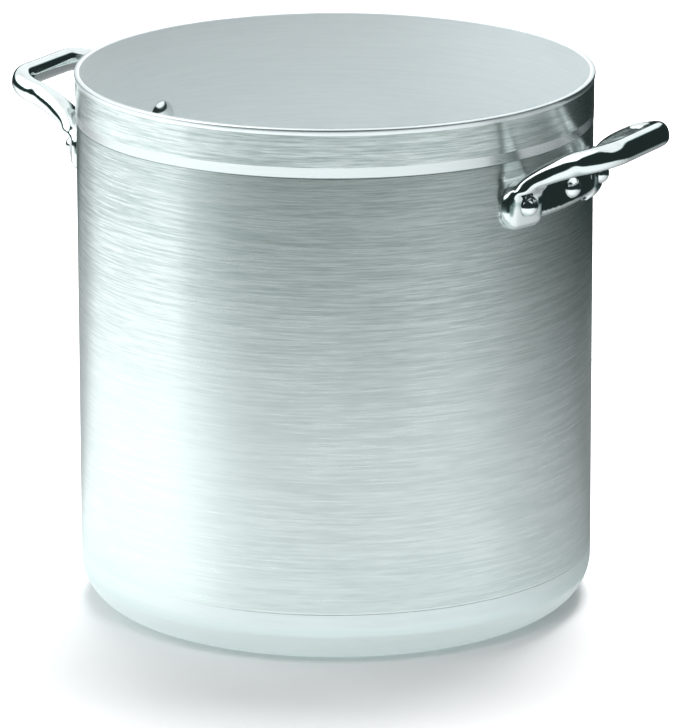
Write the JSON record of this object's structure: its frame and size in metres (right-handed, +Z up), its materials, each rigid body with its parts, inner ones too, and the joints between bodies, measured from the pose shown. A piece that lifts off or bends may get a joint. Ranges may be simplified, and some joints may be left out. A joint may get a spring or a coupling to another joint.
{
  "type": "stock pot",
  "caption": "Tall cylindrical aluminium stock pot with a rolled rim, brushed wall, rounded base corner and riveted steel loop handles.",
  "frame": {"origin": "centre of the round base, on the surface that the pot rests on", "axes": "+Z up along the pot's axis through the open mouth; the two handles point along +X and -X"},
  "size_m": [0.5502, 0.4088, 0.428],
  "materials": {
    "pot_aluminium": "brushed round the wall, with a polished rim bead and band and a satin base corner and inside",
    "handle_steel": "mirror polished stainless steel",
    "rivet_metal": "polished"
  },
  "bodies": {
    "root": {"handle_left": "handle_steel", "handle_right": "handle_steel", "pot_body": "pot_aluminium", "rivet_left_back": "rivet_metal", "rivet_left_front": "rivet_metal", "rivet_left_middle": "rivet_metal", "rivet_right_back": "rivet_metal", "rivet_right_front": "rivet_metal", "rivet_right_middle": "rivet_metal"}
  },
  "joints": []
}
